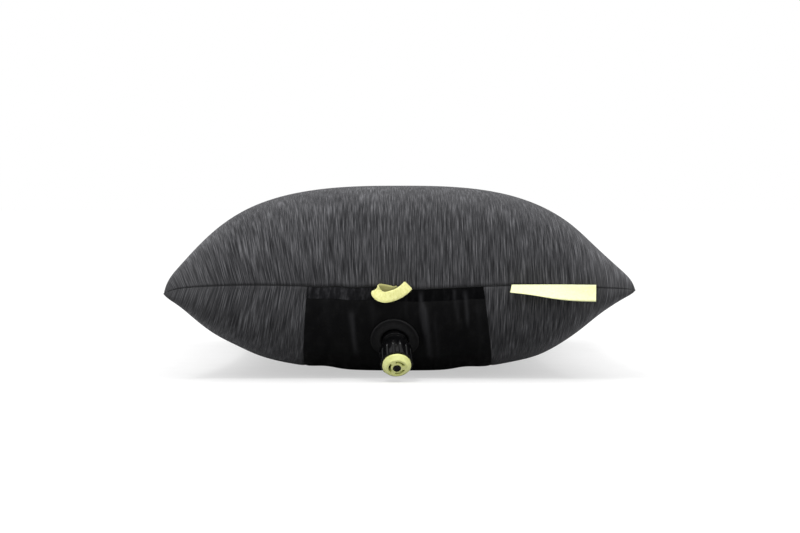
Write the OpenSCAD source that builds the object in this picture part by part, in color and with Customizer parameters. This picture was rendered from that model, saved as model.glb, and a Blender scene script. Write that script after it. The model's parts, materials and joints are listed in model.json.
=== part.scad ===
// Inflatable camp pillow: a sewn fabric cover with a stuff pocket, a comfort pad,
// a welded air bladder with baffles, and a twist valve on the end face.
//
// Millimetres. +Z is up and +Y runs along the pillow. The valve end faces -Y.
// The origin is the centre of the flat patch that the pillow rests on.

/* [Pillow] */
// Width between the corner tips, across the valve end
pillow_w = 280; // [260:5:300]
// Length between the corner tips
pillow_l = 430; // [410:5:450]
// Height of the crown above the seam
crown_h = 62.5; // [56:0.5:68]
// Depth of the belly below the seam, before it is flattened by the ground
belly_h = 57.4; // [52:0.2:62]
// How much of the belly the ground flattens
ground_flat = 0.8; // [0.4:0.2:1.6]
// How far the middle of each long side is drawn in from its corners
side_pull = 20; // [14:1:22]
// How far the middle of each end is drawn in from its corners
end_pull = 16; // [10:1:18]

/* [Cover] */
// Middle of the dark centre panel, across the width
centre_x = -1; // [-5:0.5:3]
// Width of the dark centre panel at the middle of the belly
centre_w = 118; // [108:1:126]
// How much the centre panel narrows at each end on its left side
lean_left = 4.5; // [0:0.5:8]
// How much the centre panel narrows at each end on its right side
lean_right = 7.5; // [0:0.5:10]
// Thickness of the cover fabric, as a solid
fabric = 1.1; // [0.9:0.1:1.2]
// Height of the elastic hem at the mouth of the stuff pocket
hem_h = 6; // [4:0.5:8]
// Where the closed end of the stuff pocket lies along Y
pocket_end_y = 30; // [15:5:60]

/* [Bladder] */
// Thickness of the comfort pad at the crown
pad_t = 8.2; // [7:0.1:8.4]
// Thickness of the bladder film, as a solid
film = 0.8; // [0.6:0.1:1.0]
// Distance between the baffles
baffle_pitch = 50; // [40:5:60]

/* [Valve] */
// Distance of the valve's centre from the middle of the width
valve_x = -2.9; // [-6:0.1:6]
// How far below the seam the valve's centre sits
valve_drop = 32.2; // [30:0.1:33]
// Sideways lean of the valve
valve_yaw = 4; // [0:0.5:5]
// Radius of the grip collar, over its flutes
collar_r = 9.9; // [9.6:0.1:10.2]
// Radius of the mouthpiece rim
rim_r = 8.6; // [8.5:0.1:9.0]
// How far the mouthpiece rises when it is open
lift = 3.3; // [2:0.1:3.3]

/* [Trim] */
// Width of the webbing in the hang loop
webbing_w = 7; // [5:0.5:8]
// Length of the hang loop
loop_l = 23; // [18:1:26]
// Length of the side label along the seam
label_l = 52; // [40:1:56]
// Depth of the side label
label_d = 10.4; // [8:0.2:11]

/* [Hidden] */
$fn = 64;
eps = 0.01;

// Shape of the inflated skin
side_power = 2.75; // bluntness across the width
end_power = 6; // bluntness along the length
side_round = 0.36; // roundness of the long sides
end_round = 0.42; // roundness of the two ends
crown_pinch = 0.7; // how much sharper the crown gets towards the corners
belly_pinch = 0.9; // how much sharper the belly gets towards the corners
crown_skew = 0.07; // the crown is fuller on the left
belly_skew = 0.18; // the belly is fuller on the left
skew_power = 5;
seam_z = belly_h - ground_flat;
TOP = 1;
BELLY = -1;

// Each layer is [plan inset, height inset, rim gap] of one of its faces.
// The rim gap is how far its edge stays off the seam plane.
COVER_OUT = [0, 0, 0.4];
COVER_IN = [1.6, fabric, 0.4];
LINING_OUT = [1.8, fabric + 0.4, 0.4];
LINING_IN = [2.8, 2 * fabric + 0.2, 0.4];
TAPE_OUT = [3.3, 2 * fabric + 0.6, 0.6];
TAPE_IN = [4.1, 2 * fabric + 1.2, 0.6];
PAD_OUT = [4, fabric + 0.7, 0.8];
PAD_IN = [9, fabric + 0.7 + pad_t, 0.8];
FILM_OUT_TOP = [9, fabric + 1.5 + pad_t, 0.4];
FILM_IN_TOP = [9 + 1.5 * film, fabric + 1.5 + pad_t + film, 0.7];
FILM_OUT_BELLY = [9, 4.5, 0.4];
FILM_IN_BELLY = [9 + 1.5 * film, 4.5 + film, 0.7];
BINDING_IN = 8; // plan inset of the seam binding's inner edge
binding_t = 0.6;

// Grid density of the skins
grid_u = 20;
grid_v = 28;
WIDE = 1000; // stands for "as far as the edge" in an x range

// Panel joints
panel_gap = 0.6;
joint_left = centre_x - centre_w / 2;
joint_right = centre_x + centre_w / 2;
tape_w = 8;

// Valve stack, measured along the valve's axis from the cover's face
hole_r = 8.2;
patch_r = 14.7;
patch_in = 0.3;
patch_t = 0.8;
neck_r = 6.5;
neck_bore_r = 4.6;
neck_in = -14;
neck_out = 18;
shoulder_r = 7.6;
shoulder_out = 2.5;
stop_r = 7.4;
stop_in = 7.6;
stop_out = 8.8;
run = 0.06; // radial running clearance
flange_r = 14.5;
flange_in = -7.4;
flange_t = 1.3;
clip_in = 10.5;
clip_t = 0.7;
clip_r = 7.2;
clip_groove_r = 5.9;
collar_in = 9;
collar_out = 21.6;
collar_bore_r = 7.85;
lip_t = 1.3;
flutes = 16;
flute_in = 11.2;
flute_ramp = 2.8; // length over which each flute runs out at its inner end
flute_r = 1.3;
flute_bite = 0.5;
key_w = 1.8;
key_r = 8.3;
key_gap = 0.12;
skirt_r = 7.75;
skirt_in = 12.3;
skirt_bore_r = 6.9;
rim_in = 21.9;
rim_t = 1.2;
dome_t = 2.1;
dome_r = 6.3;
ring_slot_r = 4.4;
ring_slot_w = 1.5;
ring_slot_arc = 84;
button_r = 2.35;
button_out = 25.7;
oring_r = 6.2;
oring_wire_r = 0.62;
oring_at = 16.4;
groove_w = 1.5;
stopper_r = 6.3;
stopper_in = 19.4;
stopper_t = 1.2;
seal_t = 0.6;
post_r = 1.6;
hub_r = 2.8;
spider_in = 1;
spider_t = 3;
seat_in = -10;
seat_t = 0.9;
flap_r = 4.2;
flap_t = 0.5;
stem_r = 0.6;
flap_travel = 1.5;
legs = 3;

// Label and loop
hinge_r = 0.8; // rolled edge that each one swings on
label_off = 1.6; // how far the label's edge stands off the seam
loop_off = 3.1; // how far the loop's edge stands off the seam
label_x = 65; // where the label starts across the width
label_droop = [30, 82]; // droop below the horizontal at its two ends
label_t = 1;
loop_root_x = 5;
loop_depth = 11;
loop_bend_r = 5;
loop_droop = 10;
webbing_t = 1.4;

// ---------- the inflated skin ----------

function half_w(inset) = pillow_w / 2 - inset;
function half_l(inset) = pillow_l / 2 - inset;
function plan_w(v, inset) = half_w(inset) - side_pull * (1 - v * v);
function plan_l(u, inset) = half_l(inset) - end_pull * (1 - u * u);

// How far the skin has risen on its way in from the ends, from 0 to 1
function rise(v) = pow(max(0, 1 - pow(abs(v), end_power)), end_round);

// Height of the skin above the seam, as a share of its full height
function fullness(u, v, side) =
    let(pinch = side == TOP ? crown_pinch : belly_pinch,
        skew = side == TOP ? crown_skew : belly_skew,
        across = pow(max(0, 1 - pow(abs(u), side_power)), side_round * (1 + pinch * v * v)))
    across * rise(v) * (1 - skew * pow(u, skew_power));

// A point on a layer's face; u and v run from -1 to 1 across and along the pillow
function skin(u, v, side, layer) =
    let(h = (side == TOP ? crown_h : belly_h) - layer[1],
        z = seam_z + side * (layer[2] + (h - layer[2]) * fullness(u, v, side)))
    [u * plan_w(v, layer[0]), v * plan_l(u, layer[0]), side == TOP ? z : max(z, layer[1])];

// The v at which the end face lies a given depth below the seam
function v_at_depth(depth) =
    -pow(1 - pow(depth / belly_h, 1 / end_round), 1 / end_power);

// Steps of v that crowd together towards the ends of the pillow
function v_steps(v0, v1, n) =
    let(a0 = acos(-v0), a1 = acos(-v1))
    [for (i = [0:n]) -cos(a0 + (a1 - a0) * i / n)];

// Where a lengthwise line of the belly runs: it leans in towards the ends
function leaned(x, v) = x + (x > centre_x ? -lean_right : lean_left) * (1 - rise(v));

// Rows of points for the strip of skin between x0 and x1
function strip(x0, x1, vs, side, layer, n) =
    [for (i = [0:n]) [for (v = vs)
        let(w = plan_w(v, layer[0]),
            a0 = acos(-max(-1, min(1, leaned(x0, v) / w))),
            a1 = acos(-max(-1, min(1, leaned(x1, v) / w))))
        skin(-cos(a0 + (a1 - a0) * i / n), v, side, layer)]];

// A closed shell between two grids of points of the same size
module grid_shell(outer, inner, side) {
    rows = len(outer);
    cols = len(outer[0]);
    n = rows * cols;
    quads = concat(
        [for (c = [0:cols - 2]) [c + 1, c, n + c, n + c + 1]],
        [for (c = [0:cols - 2]) let(e = (rows - 1) * cols + c) [e, e + 1, n + e + 1, n + e]],
        [for (r = [0:rows - 2]) let(e = r * cols) [e, e + cols, n + e + cols, n + e]],
        [for (r = [0:rows - 2]) let(e = r * cols + cols - 1) [e + cols, e, n + e, n + e + cols]],
        [for (r = [0:rows - 2]) for (c = [0:cols - 2])
            [r * cols + c, r * cols + c + 1, (r + 1) * cols + c + 1, (r + 1) * cols + c]],
        [for (r = [0:rows - 2]) for (c = [0:cols - 2])
            [n + r * cols + c, n + (r + 1) * cols + c,
             n + (r + 1) * cols + c + 1, n + r * cols + c + 1]]
    );
    tris = [for (q = quads) each [[q[0], q[1], q[2]], [q[0], q[2], q[3]]]];
    polyhedron(
        points = [for (row = concat(outer, inner)) each row],
        faces = side == TOP ? tris : [for (t = tris) [t[2], t[1], t[0]]]
    );
}

// A strip of fabric or film between two faces of a layer
module panel(x0, x1, vs, side, layer_out, layer_in, n) {
    grid_shell(
        strip(x0, x1, vs, side, layer_out, n),
        strip(x0, x1, vs, side, layer_in, n),
        side
    );
}

all_v = v_steps(-1, 1, grid_v);

// A point on the near seam, stood off it
function seam_point(x, off) = [x, -plan_l(x / half_w(0), 0) - off, seam_z];

label_from = seam_point(label_x, label_off);
label_to = seam_point(label_x + label_l, label_off);
label_long = norm(label_to - label_from);
label_lean = atan2(label_to[1] - label_from[1], label_to[0] - label_from[0]);
loop_axis = seam_point(loop_root_x, loop_off);

// ---------- the valve's place ----------

valve_v = v_at_depth(valve_drop);
valve_u = valve_x / plan_w(valve_v, 0);
valve_at = [valve_x, valve_v * plan_l(valve_u, 0), seam_z - valve_drop];
// Slope of the end face at the valve, which sets how far the valve points down
face_slope = belly_h * end_round * end_power * pow(-valve_v, end_power - 1)
    * pow(1 - pow(-valve_v, end_power), end_round - 1) / plan_l(valve_u, 0);
valve_down = atan(1 / face_slope);

module at_hole() {
    translate(valve_at) rotate([90 + valve_down, 0, 0]) children();
}

module at_valve() {
    translate(valve_at) rotate([90 + valve_down, 0, valve_yaw]) children();
}

// A tube between two heights on the valve's axis
module tube(r_out, r_in, z0, z1) {
    difference() {
        translate([0, 0, z0]) cylinder(r = r_out, h = z1 - z0);
        translate([0, 0, z0 - 1]) cylinder(r = r_in, h = z1 - z0 + 2);
    }
}

module rod(r, z0, z1) {
    translate([0, 0, z0]) cylinder(r = r, h = z1 - z0);
}

// Spokes between two radii
module spokes(count, width, r_in, r_out, z0, z1) {
    for (i = [0:count - 1]) rotate([0, 0, 360 * i / count + 90])
        translate([r_in, -width / 2, z0]) cube([r_out - r_in, width, z1 - z0]);
}

// ---------- cover ----------

module cover_top() {
    color("dimgray") panel(-WIDE, WIDE, all_v, TOP, COVER_OUT, COVER_IN, grid_u);
}

module cover_bottom_left() {
    color("dimgray")
        panel(-WIDE, joint_left - panel_gap / 2, all_v, BELLY, COVER_OUT, COVER_IN, 8);
}

module cover_bottom_right() {
    color("dimgray")
        panel(joint_right + panel_gap / 2, WIDE, all_v, BELLY, COVER_OUT, COVER_IN, 8);
}

// The dark lining runs the whole length; the stuff pocket lies over its valve end.
module cover_bottom_centre() {
    color([0.07, 0.07, 0.08]) difference() {
        panel(joint_left + panel_gap / 2, joint_right - panel_gap / 2, all_v, BELLY,
              LINING_OUT, LINING_IN, 8);
        at_hole() rod(hole_r, -8, 4);
    }
}

module pocket_layer(v0, v1, steps) {
    panel(joint_left + panel_gap / 2, joint_right - panel_gap / 2, v_steps(v0, v1, steps),
          BELLY, COVER_OUT, [1.2, fabric - 0.1, 0.4], 8);
}

module stuff_pocket() {
    color([0.05, 0.05, 0.06]) difference() {
        pocket_layer(v_at_depth(hem_h + 1.8), pocket_end_y / plan_l(0, 0), 18);
        at_hole() rod(hole_r, -8, 4);
    }
}

module pocket_hem() {
    color([0.12, 0.12, 0.13]) pocket_layer(v_at_depth(1.5), v_at_depth(hem_h + 1.5), 3);
}

// Bonded ring that stiffens the cover around the valve
module valve_patch() {
    color([0.09, 0.09, 0.1]) at_hole()
        tube(patch_r, hole_r, patch_in, patch_in + patch_t);
}

// Outline of the seam in plan, drawn in by an inset
function outline(inset, n) =
    let(w = half_w(inset), l = half_l(inset))
    [for (k = [0:4 * n - 1])
        let(s = -1 + 2 * (k % n) / n, edge = floor(k / n))
        edge == 0 ? [s * w, -plan_l(s, inset)] :
        edge == 1 ? [plan_w(s, inset), s * l] :
        edge == 2 ? [-s * w, plan_l(s, inset)] :
                    [-plan_w(s, inset), -s * l]];

// Bound seam allowance that joins the top to the bottom panels, with two flat
// tongues that carry the hang loop and the label
module seam_binding() {
    tongue_in = 3;
    color([0.1, 0.1, 0.11]) translate([0, 0, seam_z - binding_t / 2]) linear_extrude(binding_t) {
        difference() {
            polygon(outline(0.4, 24));
            polygon(outline(BINDING_IN, 24));
        }
        translate([loop_root_x - 3, loop_axis[1] + hinge_r + 0.5])
            square([6, loop_off + tongue_in]);
        translate([label_from[0], label_from[1]]) rotate(label_lean)
            translate([0, hinge_r + run]) square([label_long, label_off + tongue_in]);
    }
}

// Tapes that cover the two lengthwise joints on the inside
module seam_tapes() {
    color("black") for (x = [joint_left, joint_right])
        panel(x - tape_w / 2, x + tape_w / 2, v_steps(-0.999, 0.999, grid_v), BELLY,
              TAPE_OUT, TAPE_IN, 2);
}

// ---------- trim ----------

// The label hangs from a rolled edge and twists as it droops.
module side_label() {
    color([0.86, 0.9, 0.48]) translate(label_from) rotate([90, 0, 90 + label_lean]) {
        linear_extrude(label_long, twist = label_droop[0] - label_droop[1], slices = 12, $fn = 8)
            rotate(label_droop[0]) translate([-label_d, -label_t / 2]) square([label_d, label_t]);
        cylinder(r = hinge_r, h = label_long);
    }
}

// Outline of the webbing of the hang loop: a teardrop lying to the left of its root
module teardrop(grow) {
    hull() {
        translate([loop_bend_r - loop_l, -loop_depth * 0.6]) circle(r = loop_bend_r + grow);
        circle(r = hinge_r + 0.1 + grow);
    }
}

module hang_loop() {
    color([0.86, 0.9, 0.48]) translate(loop_axis) rotate([loop_droop, 0, 0]) {
        linear_extrude(webbing_w, center = true) difference() {
            teardrop(0);
            teardrop(-webbing_t);
        }
        rotate([0, 90, 0]) cylinder(r = hinge_r, h = 5, center = true);
    }
}

// ---------- filling and bladder ----------

module comfort_layer() {
    color("whitesmoke") panel(-WIDE, WIDE, all_v, TOP, PAD_OUT, PAD_IN, grid_u);
}

module bladder_top() {
    color("darkgray") panel(-WIDE, WIDE, all_v, TOP, FILM_OUT_TOP, FILM_IN_TOP, grid_u);
}

module bladder_bottom() {
    color("darkgray") difference() {
        panel(-WIDE, WIDE, all_v, BELLY, FILM_OUT_BELLY, FILM_IN_BELLY, grid_u);
        at_valve() rod(neck_r + 0.6, -30, 2);
    }
}

// Upright webs that keep the bladder from ballooning
module bladder_baffles() {
    web_v = v_steps(-0.78, 0.78, 14);
    clear = 1.2;
    color("lightgray") for (i = [-1:1]) {
        x = i * baffle_pitch;
        roof = [for (v = web_v) let(p = skin(x / plan_w(v, FILM_IN_TOP[0]), v, TOP, FILM_IN_TOP))
            [p[1], p[2] - clear]];
        sole = [for (v = web_v) let(p = skin(x / plan_w(v, FILM_IN_BELLY[0]), v, BELLY, FILM_IN_BELLY))
            [p[1], p[2] + clear]];
        translate([x - film / 2, 0, 0]) rotate([90, 0, 90]) linear_extrude(film)
            polygon(concat(roof, [for (i = [len(sole) - 1:-1:0]) sole[i]]));
    }
}

// Welded tabs that hold the bladder's rim to the seam binding
module bladder_tabs() {
    tab_w = 12;
    tab_l = 5;
    gap = 0.3;
    color("gray") {
        for (s = [-1, 1]) translate([s * (plan_w(0, BINDING_IN) - gap - tab_l / 2), 0, seam_z])
            cube([tab_l, tab_w, binding_t], center = true);
        for (s = [-1, 1]) translate([0, s * (plan_l(0, BINDING_IN) - gap - tab_l / 2), seam_z])
            cube([tab_w, tab_l, binding_t], center = true);
    }
}

// ---------- valve ----------

// Soft disc that is welded over the hole in the bladder film
module valve_flange() {
    color([0.1, 0.1, 0.11]) at_valve() tube(flange_r, neck_r + 0.05, flange_in, flange_in + flange_t);
}

module valve_neck() {
    color([0.06, 0.06, 0.07]) at_valve() difference() {
        union() {
            rod(neck_r, neck_in, neck_out);
            rod(shoulder_r, -3, shoulder_out);
            rod(stop_r, stop_in, stop_out);
        }
        rod(neck_bore_r, neck_in - 1, neck_out + 1);
        tube(neck_r + 1, clip_groove_r, clip_in, clip_in + clip_t);
        tube(neck_r + 1, oring_r - oring_wire_r - 0.05, oring_at - groove_w / 2, oring_at + groove_w / 2);
    }
}

// Ring with spokes that the one-way flap closes against
module valve_seat() {
    color("silver") at_valve() difference() {
        union() {
            tube(neck_bore_r - 0.04, 3.2, seat_in, seat_in + seat_t);
            spokes(legs, 1, 0.9, 3.4, seat_in, seat_in + seat_t);
            rod(1.5, seat_in, seat_in + seat_t);
        }
        rod(stem_r + run, seat_in - 1, seat_in + 2);
    }
}

// Silicone mushroom flap; its bulb keeps it on the seat
module check_flap() {
    bulb_in = seat_in + seat_t + flap_travel + 0.1;
    color("white") at_valve() {
        rod(flap_r, seat_in - 0.05 - flap_t, seat_in - 0.05);
        rod(stem_r, seat_in - 0.1, bulb_in + 0.2);
        rod(1.0, bulb_in, bulb_in + 0.8);
    }
}

// Three-legged holder that carries the stopper's post in the neck
module valve_spider() {
    color("black") at_valve() {
        tube(neck_bore_r - 0.04, neck_bore_r - 0.8, spider_in, spider_in + spider_t);
        spokes(legs, 1.1, hub_r - 0.4, neck_bore_r - 0.5, spider_in, spider_in + spider_t);
        tube(hub_r, post_r + 0.04, spider_in, spider_in + spider_t);
    }
}

// Fixed stopper: the mouthpiece lifts off it to open, and its button shows in the middle
module valve_stopper() {
    color("black") at_valve() {
        rod(post_r, spider_in - 0.5, stopper_in + eps);
        rod(stopper_r, stopper_in, stopper_in + stopper_t);
        difference() {
            rod(button_r, stopper_in + stopper_t - eps, button_out);
            translate([0, 0, button_out + 2.4]) sphere(r = 3);
        }
    }
}

module stopper_seal() {
    seal_in = stopper_in + stopper_t + 0.02;
    color("gray") at_valve() tube(stopper_r - 0.1, stopper_r - 0.8, seal_in, seal_in + seal_t);
}

module neck_oring() {
    color("black") at_valve() translate([0, 0, oring_at]) rotate_extrude()
        translate([oring_r, 0]) circle(r = oring_wire_r, $fn = 32);
}

// Open spring ring that keeps the collar on the neck
module collar_clip() {
    color("silver") at_valve() difference() {
        tube(clip_r, clip_groove_r + 0.05, clip_in + 0.05, clip_in + clip_t - 0.05);
        translate([0, -2.2, clip_in - 1]) cube([clip_r + 1, 4.4, clip_t + 2]);
    }
}

// Fluted grip that turns on the neck and carries the mouthpiece round with it
module valve_collar() {
    color([0.06, 0.06, 0.07]) at_valve() difference() {
        union() {
            rod(collar_r, collar_in + 0.8, collar_out - 0.5);
            translate([0, 0, collar_in]) cylinder(r1 = collar_r - 0.8, r2 = collar_r, h = 0.8 + eps);
            translate([0, 0, collar_out - 0.5 - eps])
                cylinder(r1 = collar_r, r2 = collar_r - 0.5, h = 0.5 + eps);
        }
        rod(neck_r + run, collar_in - 1, collar_out);
        rod(collar_bore_r, collar_in + lip_t, collar_out + 1);
        for (s = [0, 180]) rotate([0, 0, s])
            translate([0, -key_w / 2 - key_gap, collar_in + lip_t])
                cube([key_r + key_gap, key_w + 2 * key_gap, collar_out]);
        for (i = [0:flutes - 1]) rotate([0, 0, 360 * (i + 0.5) / flutes])
            translate([collar_r + flute_r - flute_bite, 0, flute_in]) {
                cylinder(r1 = 0.1, r2 = flute_r, h = flute_ramp + eps, $fn = 24);
                translate([0, 0, flute_ramp])
                    cylinder(r = flute_r, h = collar_out - flute_in, $fn = 24);
            }
    }
}

// One of the three curved breathing slots through the mouthpiece
module breathing_slot() {
    rotate([0, 0, -ring_slot_arc / 2]) translate([0, 0, rim_in - 2])
        rotate_extrude(angle = ring_slot_arc)
            translate([ring_slot_r - ring_slot_w / 2, 0]) square([ring_slot_w, rim_t + dome_t + 4]);
}

module mouthpiece() {
    face_in = rim_in - 0.55;
    color([0.86, 0.9, 0.48]) at_valve() difference() {
        union() {
            tube(skirt_r, skirt_bore_r, skirt_in, rim_in + eps);
            for (s = [0, 180]) rotate([0, 0, s])
                translate([skirt_r - 0.4, -key_w / 2, skirt_in])
                    cube([key_r - skirt_r + 0.4, key_w, rim_in - skirt_in]);
            rod(skirt_r, face_in, rim_in + eps);
            rod(rim_r, rim_in, rim_in + rim_t);
            translate([0, 0, rim_in + rim_t - eps])
                cylinder(r1 = rim_r, r2 = dome_r, h = dome_t);
        }
        rod(button_r + 0.1, face_in - 1, rim_in + rim_t + dome_t + 1);
        for (s = [60, 180, 300]) rotate([0, 0, s]) breathing_slot();
    }
}

cover_top();
cover_bottom_left();
cover_bottom_right();
cover_bottom_centre();
stuff_pocket();
pocket_hem();
valve_patch();
seam_binding();
seam_tapes();
side_label();
hang_loop();
comfort_layer();
bladder_top();
bladder_bottom();
bladder_baffles();
bladder_tabs();
valve_flange();
valve_neck();
valve_seat();
check_flap();
valve_spider();
valve_stopper();
stopper_seal();
neck_oring();
collar_clip();
valve_collar();
mouthpiece();
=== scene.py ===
"""Looks of an inflatable camp pillow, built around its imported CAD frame.

The cover follows one formula for the inflated skin, with sizes from the CAD boxes. A cloth
simulation of the whole cover gives the puckers and gathers, and every fabric piece adds that
same movement, so the pieces stay sewn to each other. Lengths are in metres.
"""

import json
import math

import bpy
import numpy as np
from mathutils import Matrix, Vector

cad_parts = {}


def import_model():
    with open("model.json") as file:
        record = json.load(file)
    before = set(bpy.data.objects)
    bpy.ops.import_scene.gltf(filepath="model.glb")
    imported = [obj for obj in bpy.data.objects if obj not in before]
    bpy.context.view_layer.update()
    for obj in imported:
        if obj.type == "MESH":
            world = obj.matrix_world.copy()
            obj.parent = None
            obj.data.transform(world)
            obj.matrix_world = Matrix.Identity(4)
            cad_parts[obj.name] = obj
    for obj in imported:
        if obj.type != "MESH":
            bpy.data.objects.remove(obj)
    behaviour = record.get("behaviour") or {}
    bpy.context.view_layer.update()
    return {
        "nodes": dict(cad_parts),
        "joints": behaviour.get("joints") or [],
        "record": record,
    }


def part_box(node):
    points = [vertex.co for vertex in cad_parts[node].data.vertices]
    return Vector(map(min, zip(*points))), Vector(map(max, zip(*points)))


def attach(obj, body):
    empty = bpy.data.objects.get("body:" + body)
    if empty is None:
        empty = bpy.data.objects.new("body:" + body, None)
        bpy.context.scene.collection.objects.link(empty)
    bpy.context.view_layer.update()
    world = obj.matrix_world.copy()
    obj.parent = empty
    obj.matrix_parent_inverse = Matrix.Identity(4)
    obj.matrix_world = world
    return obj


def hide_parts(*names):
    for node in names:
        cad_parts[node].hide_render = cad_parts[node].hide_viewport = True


MM = 0.001

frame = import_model()

# ---------------------------------------------------------------- sizes from the frame

TOP, BELLY = 1, -1
RIM_GAP = 0.4 * MM  # each panel's edge stays this far off the seam plane
GROUND_FLAT = 0.8 * MM  # how much of the belly the ground flattens

top_low, top_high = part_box("cover_top")
HALF_W = top_high.x
HALF_L = top_high.y
SEAM_Z = top_low.z - RIM_GAP
CROWN_H = top_high.z - SEAM_Z
BELLY_H = SEAM_Z + GROUND_FLAT

pocket_low, pocket_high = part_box("stuff_pocket")
JOINT_LEFT = pocket_low.x
JOINT_RIGHT = pocket_high.x
CENTRE_X = (JOINT_LEFT + JOINT_RIGHT) / 2
POCKET_END_Y = pocket_high.y

# The same shape constants as the CAD
SIDE_PULL = 20 * MM
END_PULL = 16 * MM
SIDE_POWER, END_POWER = 2.75, 6
SIDE_ROUND, END_ROUND = 0.36, 0.42
PINCH = {TOP: 0.7, BELLY: 0.9}
SKEW = {TOP: 0.07, BELLY: 0.18}
SKEW_POWER = 5
LEAN_LEFT, LEAN_RIGHT = 4.5 * MM, 7.5 * MM


def joint(name):
    return next(j for j in frame["joints"] if j["name"] == name)


def unit(v):
    return np.asarray(v, float) / np.linalg.norm(v)


# The valve's frame: the point where its axis meets the cover, and its axis
VALVE_OUT = unit(joint("collar_twist")["axis"])
VALVE_AT = np.array(joint("collar_twist")["pos_m"]) - 12 * MM * VALVE_OUT


# ---------------------------------------------------------------- the inflated skin


def plan_w(v, inset=0.0):
    return HALF_W - inset - SIDE_PULL * (1 - v * v)


def plan_l(u, inset=0.0):
    return HALF_L - inset - END_PULL * (1 - u * u)


def rise(v):
    """How far the skin has risen on its way in from the ends, from 0 to 1."""
    return np.maximum(0, 1 - np.abs(v) ** END_POWER) ** END_ROUND


def fullness(u, v, side):
    """Height of the skin above or below the seam, as a share of its full height."""
    across = np.maximum(0, 1 - np.abs(u) ** SIDE_POWER) ** (SIDE_ROUND * (1 + PINCH[side] * v * v))
    return across * rise(v) * (1 - SKEW[side] * u**SKEW_POWER)


def leaned(x, v):
    """Where a lengthwise joint of the belly runs: it leans in towards the ends."""
    return x + (-LEAN_RIGHT if x > CENTRE_X else LEAN_LEFT) * (1 - rise(v))


def bump(x, centre, width):
    return np.exp(-(((x - centre) / width) ** 2))


def seam_wave(x, y):
    """How far the sewn edge rises or droops: tips sag, and the webbing pulls it down a little."""
    near = np.clip(-y / HALF_L, 0, 1) ** 4
    far = np.clip(y / HALF_L, 0, 1) ** 4
    side = 1 - near - far
    tips = np.clip(np.abs(x) / HALF_W, 0, 1) ** 24
    # Heights are in millimetres, and places and widths in metres
    wave = near * (
        1.9 * bump(x, -0.088, 0.040)
        + 1.8 * bump(x, 0.074, 0.034)
        - 1.6 * bump(x, 0.010, 0.014)
        - 0.5 * bump(x, 0.030, 0.012)
        + 0.55 * bump(x, -0.034, 0.020) * np.sin((x + 0.0433) / 0.00335)
    )
    wave = wave + far * (1.2 * bump(x, -0.070, 0.045) - 1.3 * bump(x, 0.020, 0.03) + bump(x, 0.09, 0.03))
    wave = wave + side * 0.9 * np.sin(y / 0.047 + np.where(x > 0, 1.3, 0.2))
    droop = np.where(x < 0, 3.8, 1.2) * near + 1.8 * far
    return (wave - tips * droop) * MM


# How much fuller the four tips are than the formula makes them, on each side of the seam
TIP_LEFT = {TOP: 0.20, BELLY: 0.45}
TIP_RIGHT = {TOP: 0.40, BELLY: 0.10}
TIP_BLUNT = 1.2


def tip_swell(x, v, side):
    """Extra fullness close to the corner tips, which makes them blunt."""
    reach = np.clip(HALF_W - np.abs(x), 0, None)
    broad = np.where(x < 0, TIP_LEFT[side], TIP_RIGHT[side]) * np.exp(-reach / (6 * MM))
    return 1 + np.abs(v) ** 6 * (broad + TIP_BLUNT * np.exp(-reach / (3 * MM)))


# Shallow dents of the skin along the pillow: where across, how wide (both in metres) and how
# deep in millimetres. A swell has a depth below zero.
DENTS = {
    TOP: ((0.121, 0.011, 1.5),),
    BELLY: (
        (-0.103, 0.012, 1.3),
        (-0.0465, 0.009, 1.3),
        (0.0415, 0.009, 1.3),
        (0.088, 0.014, -1.3),
        (0.122, 0.010, 1.6),
    ),
}


def dents(x, h, side):
    """How far the dents draw the skin in; they fade out towards the seam."""
    depth = sum(depth * bump(x, centre, width) for centre, width, depth in DENTS[side]) * MM
    return depth * (1 - np.exp(-h / (12 * MM)))


def base_skin(u, v, side, inset=0.0):
    """A point of the smooth skin; u and v run from -1 to 1 across and along the pillow."""
    u, v = np.broadcast_arrays(np.asarray(u, float), np.asarray(v, float))
    x = u * plan_w(v, inset)
    y = v * plan_l(u, inset)
    height = (CROWN_H if side == TOP else BELLY_H) - inset
    h = RIM_GAP + (height - RIM_GAP) * fullness(u, v, side) * tip_swell(x, v, side)
    h = h - dents(x, h, side)
    z = SEAM_Z + side * h
    if side == BELLY:
        z = np.maximum(z, inset + 0.1 * MM)
    z = z + seam_wave(x, y) * np.exp(-h / (16 * MM))
    return np.stack([x, y, z], axis=-1)


def skin_normal(u, v, side):
    step = 0.004
    u = np.clip(u, -0.985, 0.985)
    v = np.clip(v, -0.992, 0.992)
    du = base_skin(u + step, v, side) - base_skin(u - step, v, side)
    dv = base_skin(u, v + step, side) - base_skin(u, v - step, side)
    n = np.cross(du, dv) * side
    return n / np.linalg.norm(n, axis=-1, keepdims=True)


def v_at_depth(depth):
    """The v at which the end face lies this far below the seam."""
    return -((1 - (depth / BELLY_H) ** (1 / END_ROUND)) ** (1 / END_POWER))


def crowded(n):
    """Steps from 0 to 1 that crowd towards both ends."""
    return (1 - np.cos(np.pi * np.arange(n + 1) / n)) / 2


def v_steps(v0, v1, n):
    a0, a1 = math.acos(-v0), math.acos(-v1)
    return -np.cos(np.linspace(a0, a1, n + 1))


# ---------------------------------------------------------------- an even grid over the skin

GRID_U, GRID_V = 84, 110


def even_grid():
    theta = np.arange(GRID_U + 1) / GRID_U
    phi = np.arange(GRID_V + 1) / GRID_V
    u = -np.cos(np.pi * theta)[:, None] + 0 * phi[None, :]
    v = -np.cos(np.pi * phi)[None, :] + 0 * theta[:, None]
    return u, v


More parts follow.
